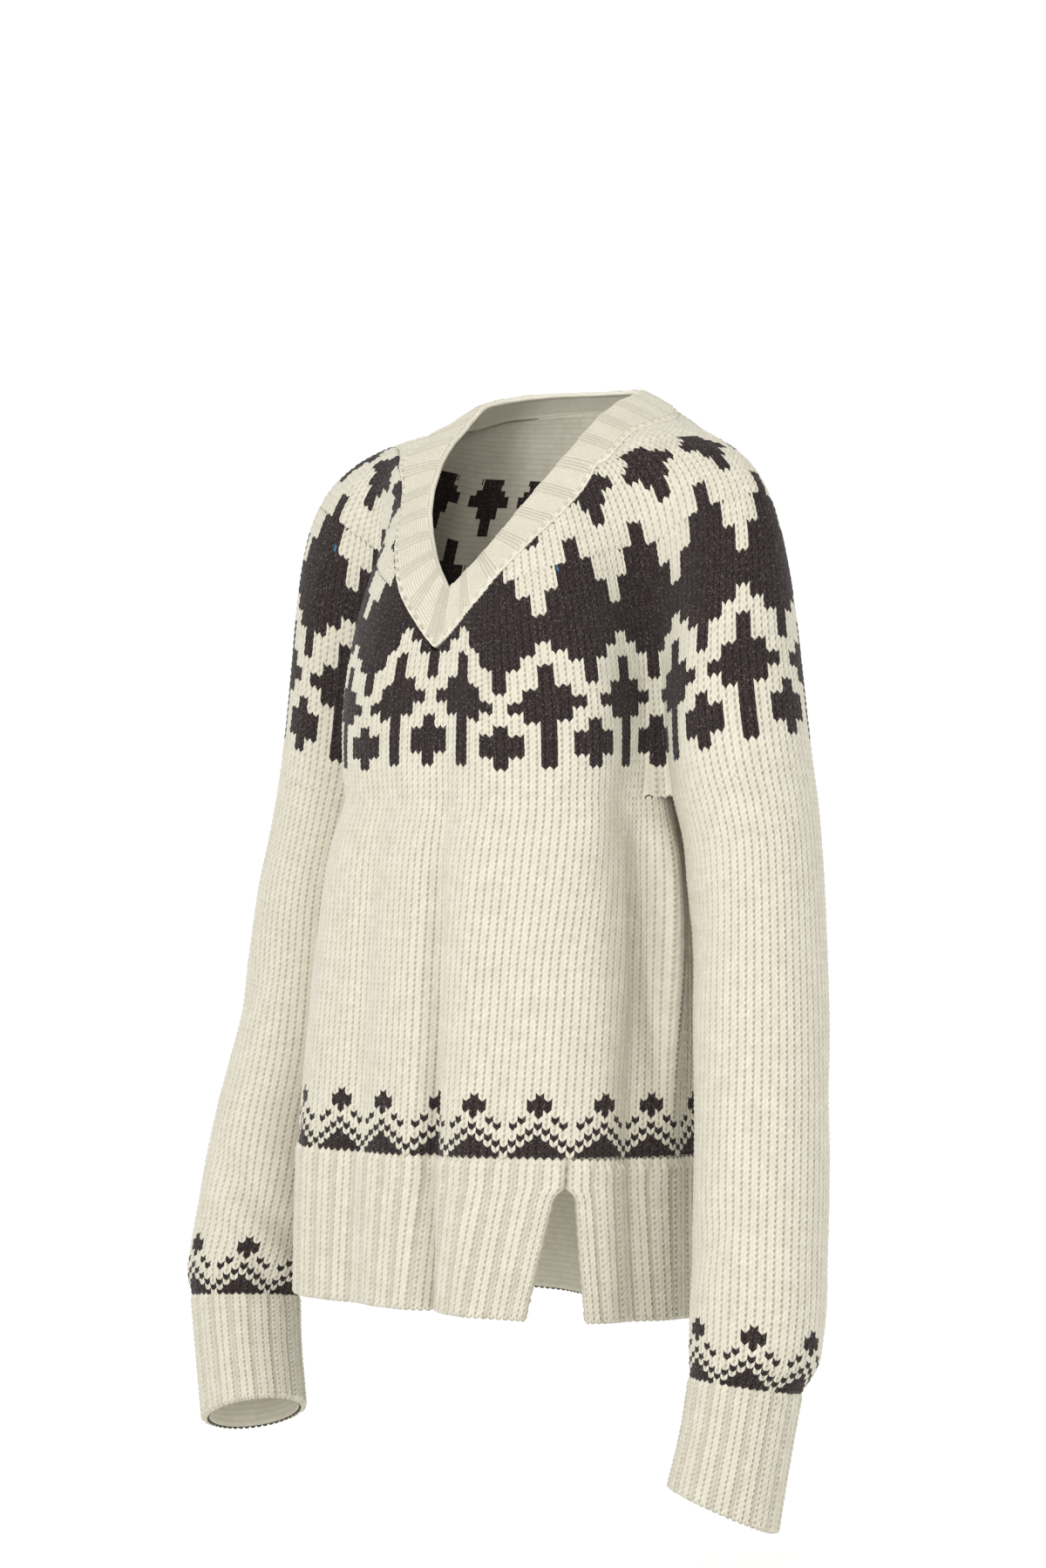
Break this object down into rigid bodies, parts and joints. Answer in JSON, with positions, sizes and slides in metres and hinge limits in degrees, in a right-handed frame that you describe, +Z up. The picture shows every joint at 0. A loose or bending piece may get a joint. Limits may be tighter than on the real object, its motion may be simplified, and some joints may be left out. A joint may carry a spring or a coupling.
{
  "type": "v-neck sweater",
  "caption": "Cream wool v-neck sweater with a dark tweed patterned round yoke, patterned bands above ribbed cuffs and a ribbed hem with side slits, open as worn.",
  "frame": {"origin": "between the shoulders inside the neck opening, where the wearer's shoulders hold the sweater up", "axes": "+Z up along the wearer's height, +X towards the wearer's left, -Y towards the front of the sweater"},
  "size_m": [0.612, 0.2626, 0.901],
  "materials": {
    "cream_wool": "matte",
    "fine_cream_wool": "matte"
  },
  "bodies": {
    "root": {"yoke": "cream_wool", "body": "cream_wool", "sleeve_left": "cream_wool", "sleeve_right": "cream_wool", "cuff_left": "cream_wool", "cuff_right": "cream_wool", "hem_rib_front": "cream_wool", "hem_rib_back": "cream_wool", "neckband": "fine_cream_wool"}
  },
  "joints": []
}
